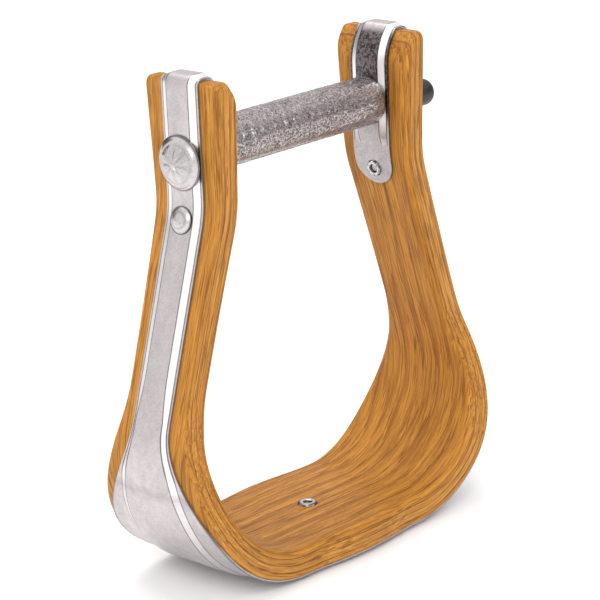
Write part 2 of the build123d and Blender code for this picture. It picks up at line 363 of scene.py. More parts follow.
# Bends a flat piece round a form: its length follows the form, its height goes in from the form.
bend_tree, given = new_tree("bend_round_form", [
    ("Form", "NodeSocketObject"), ("Middle", "NodeSocketFloat"), ("Across", "NodeSocketVector"),
    ("Material", "NodeSocketMaterial"),
])
flat_spot = fit_node(bend_tree, "GeometryNodeInputPosition").outputs[0]
kept = fit_node(bend_tree, "GeometryNodeStoreNamedAttribute",
                {"Geometry": given.outputs["Mesh"], "Name": "flat_place", "Value": flat_spot},
                data_type="FLOAT_VECTOR", domain="POINT")
flat_place = fit_node(bend_tree, "GeometryNodeInputNamedAttribute", {"Name": "flat_place"},
                      data_type="FLOAT_VECTOR").outputs[0]
along_part, across_part, depth_part = fit_node(bend_tree, "ShaderNodeSeparateXYZ", {0: flat_place}).outputs
form_shape = fit_node(bend_tree, "GeometryNodeObjectInfo", {"Object": given.outputs["Form"]})
on_form = fit_node(bend_tree, "GeometryNodeSampleCurve",
                   {"Curves": form_shape.outputs["Geometry"],
                    "Length": math_node(bend_tree, "ADD", along_part, given.outputs["Middle"])},
                   mode="LENGTH", use_all_curves=True)
inward = vector_node(bend_tree, "CROSS_PRODUCT", on_form.outputs["Tangent"], given.outputs["Across"])
unit = vector_node(bend_tree, "NORMALIZE", inward)
sunk = fit_node(bend_tree, "ShaderNodeVectorMath", {0: unit, "Scale": depth_part}, operation="SCALE")
aside = fit_node(bend_tree, "ShaderNodeVectorMath", {0: given.outputs["Across"], "Scale": across_part},
                 operation="SCALE")
moved = vector_node(bend_tree, "ADD", on_form.outputs["Position"], sunk.outputs[0])
moved = vector_node(bend_tree, "ADD", moved, aside.outputs[0])
bent = fit_node(bend_tree, "GeometryNodeSetPosition", {"Geometry": kept.outputs[0], "Position": moved})
whole = fit_node(bend_tree, "GeometryNodeRealizeInstances", {0: bent.outputs[0]})
coated = fit_node(bend_tree, "GeometryNodeSetMaterial",
                  {"Geometry": whole.outputs[0], "Material": given.outputs["Material"]})
fit_node(bend_tree, "NodeGroupOutput", {0: coated.outputs[0]})


def make_piece(name, mesh, tree, settings, drill=None, crease=32):
    """Drills a flat mesh, runs a Geometry Nodes tree on it and keeps the result as a plain piece."""
    blank = bpy.data.objects.new(name + "_blank", mesh)
    scene.collection.objects.link(blank)
    if drill:
        hole = blank.modifiers.new("drill", "BOOLEAN")
        hole.operation, hole.solver, hole.object = "DIFFERENCE", "EXACT", drill
    work = blank.modifiers.new("make", "NODES")
    work.node_group = tree
    for socket in tree.interface.items_tree:
        if socket.item_type == "SOCKET" and socket.in_out == "INPUT" and socket.name in settings:
            work[socket.identifier] = settings[socket.name]
    finished = bpy.data.meshes.new_from_object(blank.evaluated_get(bpy.context.evaluated_depsgraph_get()))
    bpy.data.objects.remove(blank)
    finished.name = name
    close_up(finished, crease)
    if not finished.materials:
        finished.materials.append(settings["Material"])
    piece = bpy.data.objects.new(name, finished)
    scene.collection.objects.link(piece)
    return piece


drill_depth = 0.06


def drill_bits(name, spots, radius):
    """Round cutters through flat pieces, one at each place along the length."""
    work = bmesh.new()
    for spot in spots:
        made = bmesh.ops.create_cone(work, cap_ends=True, segments=40, radius1=radius, radius2=radius,
                                     depth=drill_depth)
        bmesh.ops.translate(work, verts=made["verts"], vec=(spot, 0, 0))
    cutter_mesh = bpy.data.meshes.new(name)
    work.to_mesh(cutter_mesh)
    work.free()
    cutter = bpy.data.objects.new(name, cutter_mesh)
    scene.collection.objects.link(cutter)
    cutter.hide_render = True
    return cutter


def new_group(name, inputs, outputs):
    """A shader node group with named sockets: its tree, its input node and the names of its outputs."""
    made = bpy.data.node_groups.new(name, "ShaderNodeTree")
    for label, kind, value in inputs:
        made.interface.new_socket(label, in_out="INPUT", socket_type=kind).default_value = value
    for label, kind in outputs:
        made.interface.new_socket(label, in_out="OUTPUT", socket_type=kind)
    return made, made.nodes.new("NodeGroupInput")


colour_socket, number_socket, place_socket = "NodeSocketColor", "NodeSocketFloat", "NodeSocketVector"

# Oak: long growth rings that wander, soft streaks, short open pores, and the glue lines at the edges.
grain_tree, given = new_group(
    "oak_grain",
    [("Place", place_socket, (0, 0, 0)), ("Light", colour_socket, (0.7, 0.4, 0.15, 1)),
     ("Dark", colour_socket, (0.4, 0.18, 0.05, 1)), ("Ring Spacing", number_socket, 240.0),
     ("Ring Strength", number_socket, 0.5), ("Shift", place_socket, (0, 0, 0))],
    [("Color", colour_socket), ("Roughness", number_socket), ("Height", number_socket)],
)
in_board = vector_node(grain_tree, "ADD", given.outputs["Place"], given.outputs["Shift"])
# Short names for sums, ranges and noise inside this tree, and further on inside the zinc's.
grain_sum = partial(math_node, grain_tree)
grain_range = partial(remap, grain_tree)
grain_noise = partial(stretched_noise, grain_tree, in_board)
rings_in_depth, ring_wander, ring_ripple = 520.0, 5.0, 1.1
board_across, board_depth = fit_node(grain_tree, "ShaderNodeSeparateXYZ", {0: in_board}).outputs[1:]
level = grain_sum("MULTIPLY", board_across, given.outputs["Ring Spacing"])
level = grain_sum("MULTIPLY_ADD", board_depth, rings_in_depth, level)
level = grain_sum("MULTIPLY_ADD", grain_noise((9.0, 34.0, 60.0), 2.0), ring_wander, level)
level = grain_sum("MULTIPLY_ADD", grain_noise((24.0, 520.0, 520.0)), ring_ripple, level)
in_ring = grain_sum("FRACT", level)
rings = grain_sum("MULTIPLY", grain_sum("POWER", in_ring, 3.0), grain_range(in_ring, 0.93, 1.0, 1.0, 0.0))
streaks = grain_range(grain_noise((5.0, 300.0, 340.0), 4.0, 0.62), 0.32, 0.68)
fibres = grain_range(grain_noise((55.0, 1900.0, 1900.0), 4.0, 0.85), 0.37, 0.63)
lines = grain_range(grain_noise((13.0, 800.0, 800.0), 5.0, 0.72), 0.36, 0.64)
clouds = grain_noise((26.0, 55.0, 55.0), 2.0)
pores = grain_range(grain_noise((75.0, 2300.0, 2300.0), 1.0), 0.57, 0.66)
pores = grain_sum("MULTIPLY", pores, grain_range(in_ring, 0.1, 0.8, 1.0, 0.25))
tone = grain_sum("MULTIPLY", rings, given.outputs["Ring Strength"])
for layer, share in ((streaks, 0.26), (clouds, 0.22), (lines, 0.25), (fibres, 0.42)):
    tone = grain_sum("MULTIPLY_ADD", layer, share, tone)
toned = blend_colours(grain_tree, grain_sum("SUBTRACT", tone, 0.325, clamp=True),
                      given.outputs["Light"], given.outputs["Dark"])
pored = blend_colours(grain_tree, grain_sum("MULTIPLY", pores, 0.75), toned, (0.16, 0.06, 0.015, 1))
true_depth = fit_node(grain_tree, "ShaderNodeSeparateXYZ", {0: given.outputs["Place"]}).outputs[2]
nearest = None
for joint in range(1, len(ply_names)):
    away = grain_sum("ABSOLUTE", grain_sum("SUBTRACT", true_depth, joint * ply))
    nearest = away if nearest is None else grain_sum("MINIMUM", nearest, away)
glue = grain_range(nearest, 0.00005, 0.00028, 1.0, 0.0)
gaps = stretched_noise(grain_tree, given.outputs["Place"], (120.0, 90.0, 400.0), 2.0)
glue = grain_sum("MULTIPLY", glue, grain_range(gaps, 0.35, 0.6, 0.40, 0.85))
glued = blend_colours(grain_tree, glue, pored, (0.13, 0.045, 0.012, 1))
sheen = grain_sum("MULTIPLY_ADD", fibres, 0.16, grain_range(pores, 0.0, 1.0, 0.36, 0.55))
relief = grain_sum("SUBTRACT", grain_sum("MULTIPLY", fibres, 0.35), pores)
relief = grain_sum("MULTIPLY_ADD", rings, 0.25, relief)
fit_node(grain_tree, "NodeGroupOutput", {0: glued, 1: sheen, 2: relief})


def oak(name, light, dark, ring_spacing, ring_strength, shift):
    """Lacquered oak for one ply."""
    shader, made = skin_material(name, grain_tree, {
        "Light": light, "Dark": dark, "Ring Spacing": ring_spacing, "Ring Strength": ring_strength,
        "Shift": shift,
    }, 0.8, 0.00026)
    for label, value in (("Specular IOR Level", 0.20), ("Coat Weight", 0.06), ("Coat Roughness", 0.2)):
        shader.inputs[label].default_value = value
    return made


wood_width = width_rule(0.028, 0.026, 0.013, 0.016, 0.016, 0.070, top_z)
top_zone = 0.0165
bow_reach = bow_length + 0.002
bow_form = form_of_runs("bow_form", bow_runs, bow_reach, 1101)
bow_stations = split_runs(bow_runs[:-1] + [(neck_length - top_zone, 0.0)], (10, 40, 18, 12, 6))
zone_steps = 10
half_count = len(bow_stations)
across_parts = [sin(pi / 2 * step / 14) for step in range(-14, 15)]


def round_over(radius, reach):
    """How far a rounded corner falls back, this far into its rounding; 0 before it starts."""
    return radius - sqrt(max(radius**2 - max(reach, 0)**2, 0))


def top_end(depth, across, half):
    """How far short of the very top the wood ends, by depth and by place across."""
    drop = round_over(outer_corner, outer_corner - depth)
    if depth > top_flat:
        drop = top_drop - sqrt(max(top_round**2 - (depth - wood + top_round)**2, 0))
    return drop + round_over(top_corner, abs(across) - (half - top_corner))


def edge_rounding(depth):
    """How much narrower the wood is at this depth, from its softened edges."""
    return round_over(inner_edge, depth - wood + inner_edge) + round_over(outer_edge, outer_edge - depth)


def flat_ply(name, near, far):
    """One ply as it is before bending, x along its length, y across, z in from the outside face."""
    rows = {near, near + 0.00008, far - 0.00008, far}
    curved = [0.0001, 0.0003, 0.0007, 0.0012, 0.0036, top_flat, 0.0052, 0.0060]
    curved += [wood - inner_edge + inner_edge * sin(radians(turn)) for turn in range(15, 90, 12)]
    rows = sorted(rows | {row for row in curved if near < row < far})
    side_count = half_count + zone_steps
    stations = 2 * side_count - 1

    def place(station, row, column):
        step = station - side_count + 1
        side, step = (-1 if step < 0 else 1), abs(step)
        depth, part = rows[row], across_parts[column]
        trim = edge_rounding(depth) + (glue_groove if row in (0, len(rows) - 1) and 0 < depth < wood else 0)
        if step < half_count:
            along = bow_stations[step]
        else:
            top_half = wood_width(outer_x, top_z) - trim
            end = bow_length - top_end(depth, part * top_half, top_half)
            start = bow_stations[-1]
            along = start + (end - start) * (step - half_count + 1) / zone_steps
        x, z, heading = follow(bow_runs, along)
        half = wood_width(x - depth * sin(heading), z + depth * cos(heading)) - trim
        uneven = 0.00010 * noise.noise(Vector((along * 45 * side, depth * 200, 3.0 if part > 0 else 7.0)))
        return side * along, part * (half + (uneven if abs(part) == 1 else 0)), depth
    return lattice(name, stations, len(rows), len(across_parts), place)


bolt_bits = drill_bits("bolt_bits", (bow_length - bolt_drop, bolt_drop - bow_length), bolt_hole)
ply_looks = [
    ((0.60, 0.268, 0.040, 1), (0.21, 0.066, 0.006, 1), 300.0, 0.55, (0.31, 0.013, 0.0)),
    ((0.64, 0.295, 0.048, 1), (0.23, 0.074, 0.008, 1), 150.0, 0.50, (1.10, 0.021, 0.0)),
    ((0.60, 0.268, 0.040, 1), (0.21, 0.066, 0.006, 1), 190.0, 0.52, (2.40, 0.006, 0.0)),
    ((0.575, 0.250, 0.034, 1), (0.20, 0.062, 0.005, 1), 170.0, 0.62, (3.77, 0.017, 0.0)),
]
for number, (ply_name, look) in enumerate(zip(ply_names, ply_looks)):
    flat = flat_ply(ply_name, number * ply, (number + 1) * ply)
    piece = make_piece(ply_name + "_wood", flat, bend_tree, {
        "Form": bow_form, "Middle": bow_reach, "Across": (0, 1, 0), "Material": oak("oak_" + ply_name, *look),
    }, drill=bolt_bits)
    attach(piece, "bow")
    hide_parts(ply_name)
bpy.data.objects.remove(bolt_bits)
bpy.data.objects.remove(bow_form)

# ---- the binding strip ----
# One strip of galvanised sheet goes from a round-ended tab inside one upright over its top, down the
# outside, under the tread and back the same way. Its middle is pressed up in a flat panel, to stiffen it.
sheet = 0.0008
fit_gap = 0.00005
panel_rise = 0.0011
skin = fit_gap + sheet
tight = 0.0005
crease_turn = pi / 2 - top_turn
crease_cut = tight * np.tan(crease_turn / 2)
leg_bare = leg_length * (1 - 0.951)
strip_runs = bow_runs[:-1] + [
    (neck_length - outer_corner, 0.0), (outer_corner * pi / 2, pi / 2),
    (top_flat - outer_corner - crease_cut, 0.0), (tight * crease_turn, crease_turn),
    (top_round * top_turn - crease_cut, top_turn), (neck_length - top_drop, 0.0),
    ((shoulder_radius + wood) * lean, lean), (leg_bare, 0.0),
]
strip_length = sum(length for length, turn in strip_runs)
strip_reach = strip_length + 0.001
strip_form = form_of_runs("strip_form", strip_runs, strip_reach, 4001)
strip_width = width_rule(0.027, 0.025, 0.0079, 0.0079, 0.015, 0.060, top_z + 0.005)
panel_width = width_rule(0.0143, 0.0143, 0.006, 0.006, 0.017, 0.075, top_z + 0.005)
tab_round = 0.0079
panel_stop = strip_length - leg_bare - (shoulder_radius + wood) * radians(15.5)
strip_stations = [spot for spot in split_runs(strip_runs, (8, 44, 22, 14, 14, 6, 2, 4, 14, 18, 12, 2))
                  if spot < strip_length - tab_round - 0.0006]
strip_stations += [strip_length - tab_round * (1 - sin(radians(turn))) for turn in range(0, 91, 6)]
crease_soft = 0.00026


def strip_across(along):
    """Places across the strip at this station, each with how far the metal is pressed up there."""
    x, z, heading = follow(strip_runs, along)
    half = strip_width(x, z)
    left = strip_length - along
    if left < tab_round:
        half *= max(sqrt(max(1 - (1 - left / tab_round)**2, 0)), 0.004)
    top = panel_width(x, z) - 0.0014
    foot = min(top + 0.0025, strip_width(x, z) - 0.0006)
    fade = min(max((panel_stop - along) / 0.0032, 0), 1)
    marks = [
        (0, 1), (top * 0.4, 1), (top * 0.8, 1), (top - crease_soft, 1), (top, 0.97),
        (top + crease_soft, 0.88), ((foot + top) / 2, 0.5), (foot - crease_soft, 0.12), (foot, 0.03),
        (foot + crease_soft, 0),
    ]
    side = [(min(place, half * (0.55 + 0.045 * number)), rise * fade * panel_rise)
            for number, (place, rise) in enumerate(marks)]
    edge = side[-1][0]
    side += [(edge + (half - edge) * part, 0) for part in (0.45, 0.85, 1)]
    return [(-place, rise) for place, rise in side[:0:-1]] + side


strip_sections = [strip_across(along) for along in strip_stations]
side_count = len(strip_stations)
middle_column = len(strip_sections[0]) // 2


def strip_place(station, row, column):
    """One point of the flat strip: row 0 is its outer face, the last row its inner face."""
    step = station - side_count + 1
    side, step = (-1 if step < 0 else 1), abs(step)
    across, rise = strip_sections[step][column]
    ease = 0.00012 if row in (0, 3) and column in (0, len(strip_sections[step]) - 1) else 0.0
    near = -skin - rise
    depth = (near, near + 0.00012, near + sheet - 0.00012, near + sheet)[row]
    along = strip_stations[step] * side
    dent = 0.00006 * noise.noise(Vector((along * 55, across * 90, 1.3)))
    return along, across - (ease if across > 0 else -ease), depth + dent


# Zinc skin: a patchwork of faint crystals, rubbed smudges and fine scratches along the length.
zinc_tree, given = new_group(
    "zinc_skin",
    [("Place", place_socket, (0, 0, 0)), ("Base", colour_socket, (0.7, 0.7, 0.7, 1)),
     ("Shade", colour_socket, (0.4, 0.4, 0.4, 1)), ("Crystal Size", number_socket, 500.0),
     ("Crystals", number_socket, 0.3), ("Smudges", number_socket, 0.4), ("Pits", number_socket, 0.0),
     ("Pit Scale", number_socket, 1500.0),
     ("Smooth", number_socket, 0.2), ("Dull", number_socket, 0.45)],
    [("Color", colour_socket), ("Roughness", number_socket), ("Height", number_socket)],
)
place = given.outputs["Place"]
zinc_sum = partial(math_node, zinc_tree)
zinc_range = partial(remap, zinc_tree)
zinc_noise = partial(stretched_noise, zinc_tree, place)
jitter = fit_node(zinc_tree, "ShaderNodeTexNoise", {"Vector": place, "Scale": 900.0, "Detail": 2.0})
nudged = vector_node(zinc_tree, "MULTIPLY_ADD", jitter.outputs["Color"], (0.0012, 0.0012, 0.0012), place)
cells = fit_node(zinc_tree, "ShaderNodeTexVoronoi", {"Vector": nudged, "Scale": given.outputs["Crystal Size"]})
crystal = fit_node(zinc_tree, "ShaderNodeSeparateXYZ", {0: cells.outputs["Color"]}).outputs[0]
smudge = zinc_range(zinc_noise((38.0, 75.0, 75.0), 5.0, 0.62, 0.4), 0.38, 0.68)
scratches = zinc_range(zinc_noise((60.0, 4200.0, 900.0), 2.0), 0.62, 0.72)
pitted = zinc_range(noise_node(zinc_tree, place, given.outputs["Pit Scale"], 3.0, 0.75), 0.48, 0.60)
pitted = zinc_sum("MULTIPLY", pitted, given.outputs["Pits"])
dirt_and_shade = zinc_sum("MULTIPLY", crystal, given.outputs["Crystals"])
dirt_and_shade = zinc_sum("ADD", dirt_and_shade, zinc_sum("MULTIPLY", smudge, given.outputs["Smudges"]))
dirt_and_shade = zinc_sum("ADD", dirt_and_shade, pitted, clamp=True)
skin_colour = blend_colours(zinc_tree, dirt_and_shade, given.outputs["Base"], given.outputs["Shade"])
span = zinc_sum("SUBTRACT", given.outputs["Dull"], given.outputs["Smooth"])
mixed = zinc_sum("MULTIPLY_ADD", smudge, 0.6, zinc_sum("MULTIPLY", crystal, 0.4))
skin_rough = zinc_sum("MULTIPLY_ADD", mixed, span, given.outputs["Smooth"])
skin_rough = zinc_sum("MULTIPLY_ADD", scratches, 0.10, skin_rough)
skin_height = zinc_sum("SUBTRACT", zinc_sum("MULTIPLY", crystal, 0.35), pitted)
skin_height = zinc_sum("MULTIPLY_ADD", scratches, -0.2, skin_height)
fit_node(zinc_tree, "NodeGroupOutput", {0: skin_colour, 1: skin_rough, 2: skin_height})


def metal(name, base, shade, flat_pattern=False, bump_depth=0.00003, **values):
    """A metal finish from the zinc skin."""
    feeds = {label.replace("_", " ").title(): value for label, value in values.items()}
    feeds.update({"Base": base, "Shade": shade})
    shader, made = skin_material(name, zinc_tree, feeds, 0.5, bump_depth, flat_pattern)
    shader.inputs["Metallic"].default_value = 1.0
    return made


def colour_of(material):
    """The tree of a material, the socket for its colour and what feeds it now."""
    tree = material.node_tree
    shader = next(one for one in tree.nodes if one.type == "BSDF_PRINCIPLED")
    into = shader.inputs["Base Color"]
    return tree, into, into.links[0].from_socket


def strip_crease_shade(station, row, column):
    """Painted shade in the panel's creases, from its stop inwards, and at the strip's edges."""
    along = strip_stations[abs(station - side_count + 1)]
    from_middle = abs(column - middle_column)
    if from_middle == middle_column and row in (0, 1):
        return 0.7
    return 1.0 if row == 0 and along < panel_stop + 0.0005 and from_middle in (4, 8) else 0.0


def strip_flank_highlight(station, row, column):
    """1 on the sloping sides of the panel, where a highlight is painted in, less at the bends and the stop."""
    along = strip_stations[abs(station - side_count + 1)]
    if row or along > panel_stop or abs(column - middle_column) not in (5, 6, 7):
        return 0.0
    rising = min(max((along - flat_half) / bow_runs[1][0] * 1.7 - 0.6, 0.12), 1)
    return rising * min(max((panel_stop - 0.002 - along) / 0.006, 0.15), 1)


strip_metal = metal("galvanised_strip", (0.61, 0.566, 0.566, 1), (0.36, 0.34, 0.345, 1), flat_pattern=True,
                    crystal_size=520.0, crystals=0.22, smudges=0.20, pits=0.30, smooth=0.30, dull=0.48)
tree, colour_in, plain = colour_of(strip_metal)
crease_shade_mask, flank_highlight_mask = read_mark(tree, "crease"), read_mark(tree, "flank_highlight")
flat_spot = read_mark(tree, "flat_place", "Vector")
from_tread = math_node(tree, "ABSOLUTE", fit_node(tree, "ShaderNodeSeparateXYZ", {0: flat_spot}).outputs[0])
# Painted highlight: the sloping flanks of the panel are mixed towards near white.
flank_highlighted = blend_colours(tree, math_node(tree, "MULTIPLY", flank_highlight_mask, 0.75), plain, (0.97, 0.96, 0.96, 1))
# Painted shade: on the inner face, from the top down past the roller, the zinc is painted dark and coarse,
# fading towards the tab.
inner_top_start = sum(length for length, turn in strip_runs[:9])
fold_end = sum(length for length, turn in strip_runs[:8])
inside_top = remap(tree, from_tread, fold_end, fold_end + 0.0030)
fade_out = remap(tree, from_tread, panel_stop - 0.012, panel_stop - 0.004, 1.0, 0.34)
painted_top_shade = math_node(tree, "MULTIPLY", inside_top, fade_out)
coarse = remap(tree, noise_node(tree, flat_spot, 1300.0, 3.0, 0.65), 0.40, 0.60, 1.0, 0.72)
painted_top_shade = math_node(tree, "MULTIPLY", painted_top_shade, coarse)
painted_top_shade = math_node(tree, "MULTIPLY", painted_top_shade, math_node(tree, "SUBTRACT", 1.0, flank_highlight_mask, clamp=True))
painted_top_shade = math_node(tree, "MULTIPLY", painted_top_shade, 0.97)
top_shade_and_rub = blend_colours(tree, painted_top_shade, flank_highlighted, (0.034, 0.021, 0.022, 1))
# Rough handling has left a grey rub across the panel, low on each leg.
rub_place, rub_half = 0.088, 0.0032
from_rub = math_node(tree, "ABSOLUTE", math_node(tree, "SUBTRACT", from_tread, rub_place))
rub = remap(tree, from_rub, 0.0, rub_half, 0.5, 0.0)
rub = math_node(tree, "MULTIPLY", rub, stretched_noise(tree, flat_spot, (500.0, 120.0, 120.0), 3.0))
top_shade_and_rub = blend_colours(tree, rub, top_shade_and_rub, (0.20, 0.18, 0.185, 1))
# Painted shade: the panel's creases and the strip's edges are darkened.
crease_shaded = blend_colours(tree, math_node(tree, "MULTIPLY", crease_shade_mask, 0.95), top_shade_and_rub, (0.05, 0.045, 0.045, 1))
tree.links.new(crease_shaded, colour_in)
inner_bolt = inner_top_start + (top_z - top_drop - bolt_z)
strip_bits = drill_bits("strip_bits", [side * spot for side in (-1, 1) for spot in
                                       (bow_length - bolt_drop, inner_bolt)], bolt_hole)
flat = lattice("binding_strip", 2 * side_count - 1, 4, len(strip_sections[0]), strip_place,
               {"crease": strip_crease_shade, "flank_highlight": strip_flank_highlight})
piece = make_piece("binding_strip_metal", flat, bend_tree, {
    "Form": strip_form, "Middle": strip_reach, "Across": (0, 1, 0), "Material": strip_metal,
}, drill=strip_bits, crease=28)
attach(piece, "bow")
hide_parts("binding_strip")
bpy.data.objects.remove(strip_bits)
bpy.data.objects.remove(strip_form)

# ---- the roller ----
# A short length of thick galvanised sheet rolled into a tube, its seam left just open and turned down.
# It hangs loose on the bolt, and the stirrup leather goes over it.
roller_low, roller_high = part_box("roller")
roller_z = (roller_low[2] + roller_high[2]) / 2
roller_radius = (roller_high[2] - roller_low[2]) / 2
roller_half = (roller_high[0] - roller_low[0]) / 2
roller_wall = 0.0015
seam_gap = 0.0004
seam_angle = radians(235)
roller_round = 2 * pi * roller_radius
roller_form = form_curve("roller_form", [
    (0, roller_radius * cos(seam_angle - turn), roller_z + roller_radius * sin(seam_angle - turn))
    for turn in np.linspace(0, 2 * pi, 721)
])
round_steps, long_steps = 150, 130


def roller_place(station, row, column):
    """One point of the flat sheet: x round the tube, y along it, z in from the outside."""
    depth = (0.0, 0.00012, 0.0004, 0.0011, 0.0014, roller_wall)[row]
    ease = (0.0005, 0.0002, 0.0, 0.0, 0.0002, 0.0005)[row]
    part = station / round_steps
    around = seam_gap / 2 + ease * 0.5 + (roller_round - seam_gap - ease) * part
    along = (roller_half - ease) * (2 * column / long_steps - 1)
    beaten = 0.0
    if row == 0:
        turn = 2 * pi * part
        spot = Vector((along, roller_radius * cos(turn), roller_radius * sin(turn)))
        beaten = 0.00006 + 0.00009 * noise.noise(spot * 480) + 0.00006 * noise.noise(spot * 1100)
    return around, along, depth + max(beaten, 0)


roller_metal = metal("galvanised_tube", (0.52, 0.475, 0.475, 1), (0.024, 0.018, 0.020, 1), crystal_size=900.0,
                     crystals=0.22, smudges=0.14, pits=0.62, pit_scale=1500.0, smooth=0.15, dull=0.34,
                     bump_depth=0.00090)
flat = lattice("roller", round_steps + 1, 6, long_steps + 1, roller_place)
piece = make_piece("roller_tube", flat, bend_tree, {
    "Form": roller_form, "Middle": 0.0, "Across": (1, 0, 0), "Material": roller_metal,
}, crease=50)
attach(piece, "roller")
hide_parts("roller")
bpy.data.objects.remove(roller_form)

# ---- the stirrup bolt ----
# A steel bolt goes through both uprights and the roller. Its broad domed head is stamped with a ring
# of petals inside a raised rim, and its end is threaded for the nut.
repeat_tree, given = new_tree("repeat_round", [
    ("Count", "NodeSocketInt"), ("Turn", "NodeSocketVector"), ("Place", "NodeSocketVector"),
    ("Material", "NodeSocketMaterial"),
])
spots = fit_node(repeat_tree, "GeometryNodeMeshLine", {"Count": given.outputs["Count"], "Offset": (0, 0, 0)})
number = fit_node(repeat_tree, "GeometryNodeInputIndex").outputs[0]
share = math_node(repeat_tree, "DIVIDE", 2 * pi, given.outputs["Count"])
spin = fit_node(repeat_tree, "ShaderNodeCombineXYZ", {2: math_node(repeat_tree, "MULTIPLY", number, share)})
wedge_piece = fit_node(repeat_tree, "GeometryNodeGeometryToInstance", {0: given.outputs["Mesh"]})
ring_of = fit_node(repeat_tree, "GeometryNodeInstanceOnPoints", {
    "Points": spots.outputs[0], "Instance": wedge_piece.outputs[0], "Rotation": spin.outputs[0],
})
turned_to = fit_node(repeat_tree, "GeometryNodeTransform",
                     {"Geometry": ring_of.outputs[0], "Translation": given.outputs["Place"],
                      "Rotation": given.outputs["Turn"]})
whole = fit_node(repeat_tree, "GeometryNodeRealizeInstances", {0: turned_to.outputs[0]})
joined = fit_node(repeat_tree, "GeometryNodeMergeByDistance",
                  {"Geometry": whole.outputs[0], "Distance": 2e-7})
coated = fit_node(repeat_tree, "GeometryNodeSetMaterial",
                  {"Geometry": joined.outputs[0], "Material": given.outputs["Material"]})
fit_node(repeat_tree, "NodeGroupOutput", {0: coated.outputs[0]})


def turned_piece(name, node, body, material, outline, count, steps, facing, place, closed=False,
                 crease=32, painted_shade=None):
    """A turned piece of equal wedges round its axis; outline(part) is its outline part way over a wedge."""
    outlines = [outline(step / steps) for step in range(steps + 1)]
    size = len(outlines[0])
    points, faces, dirt_and_shade = [], [], []
    for step, line in enumerate(outlines):
        turn = 2 * pi / count * step / steps
        points += [(radius * cos(turn), radius * sin(turn), height) for radius, height in line]
        # A given function sets how much shade is painted at each point of the outline.
        dirt_and_shade += [painted_shade(radius, height, step / steps) if painted_shade else 0.0 for radius, height in line]
    for near in range(0, steps * size, size):
        far = near + size
        for spot in range(size if closed else size - 1):
            after = (spot + 1) % size
            faces.append((near + spot, far + spot, far + after, near + after))
    wedge = bpy.data.meshes.new(name)
    wedge.from_pydata(points, [], faces)
    add_mark(wedge, "painted_shade", dirt_and_shade)
    made = make_piece(name, wedge, repeat_tree, {
        "Count": count, "Turn": (0, atan2(facing[0], facing[2]), 0), "Place": place, "Material": material,
    }, crease=crease)
    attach(made, body)
    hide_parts(node)


head_radius, head_rim, head_height = 0.00875, 0.0010, 0.0039
seat_x = outer_x + skin + panel_rise
shank_radius = 0.00397
thread_pitch, thread_depth, thread_run = 0.001411, 0.00042, 0.019
bolt_end = outer_x + 0.017
bolt_point = 0.0008
dome_radius = (head_radius**2 + (head_height - head_rim)**2) / (2 * (head_height - head_rim))


def swell_up(value, middle, half):
    """A smooth swelling, 1 at the middle and 0 at half a width away."""
    away = min(abs(value - middle) / half, 1)
    return 0.5 + 0.5 * cos(pi * away)


def bolt_outline(part):
    """Head, shank and thread of the bolt across one of its eight wedges."""
    line = []
    for step in range(31):
        radius = head_radius * step / 30
        height = head_height - 0.00042 - dome_radius + sqrt(dome_radius**2 - radius**2)
        petal_half = 0.47 * max(sin(pi * min(max((radius - 0.0010) / 0.0050, 0), 1)), 0)**0.55
        petal = 0.0
        if petal_half > 0.02:
            petal = min(max(1 - abs(part - 0.5) / petal_half, 0) * 2.2, 1)
        vein = swell_up(part, 0.5, 0.10) * (0.0014 < radius < 0.0050)
        height += 0.00020 * petal - 0.00006 * vein
        height += 0.00026 * swell_up(radius, 0.0, 0.0013) + 0.00022 * swell_up(radius, 0.0071, 0.0009)
        line.append((radius, height))
    line += [(head_radius, head_rim * 0.5), (head_radius - 0.0002, 0)]
    line += [(shank_radius + 0.0003, 0), (shank_radius, -0.0003)]
    end = -(seat_x + bolt_end)
    spot = end + thread_run
    line += [(shank_radius, spot * part_way) for part_way in (0.25, 0.5, 0.75, 1.0)]
    root = shank_radius - thread_depth
    while spot - thread_pitch > end + bolt_point:
        line += [(root, spot - thread_pitch * 0.45), (root, spot - thread_pitch * 0.55),
                 (shank_radius, spot - thread_pitch * 0.94), (shank_radius, spot - thread_pitch)]
        spot -= thread_pitch
    return line + [(shank_radius, end + bolt_point), (shank_radius - bolt_point, end), (0, end)]


bright_steel = metal("bright_plated_steel", (0.66, 0.635, 0.635, 1), (0.28, 0.26, 0.265, 1), crystal_size=900.0,
                     crystals=0.08, smudges=0.40, pits=0.20, smooth=0.17, dull=0.34)
tree, colour_in, plain = colour_of(bright_steel)
# Painted shade: the steel pieces are darkened where their mark says, in recesses, round rims and in bores.
dirt_and_shade = math_node(tree, "MULTIPLY", read_mark(tree, "painted_shade"), 0.93)
tree.links.new(blend_colours(tree, dirt_and_shade, plain, (0.02, 0.018, 0.018, 1)), colour_in)


def bolt_painted_shade(radius, height, part):
    """Painted shade between the petals, round the raised rim and under the head."""
    if height < -0.0002:
        return 0.0
    if radius > head_radius - 0.0005:
        return 0.75
    between = min(abs(part - 0.5) * 2.2, 1)**2 * (0.0012 < radius < 0.0062)
    return max(0.18 * between, 0.20 * swell_up(radius, 0.0061, 0.0009))


turned_piece("bolt_with_petal_head", "stirrup_bolt", "bolt", bright_steel, bolt_outline,
             8, 20, (-1, 0, 0), (-seat_x, 0, bolt_z), crease=40, painted_shade=bolt_painted_shade)

# ---- the rivets ----
# Tubular steel rivets hold the strip to the wood: one through each shoulder, its domed head outside,
# and one up through the middle of the tread. The open ends split in a star and roll over.
rivet_slope = radians(14.0)
rivet_radius, rivet_bore, bore_depth = 0.0020, 0.0011, 0.0050
rivet_stand_off = 0.00035


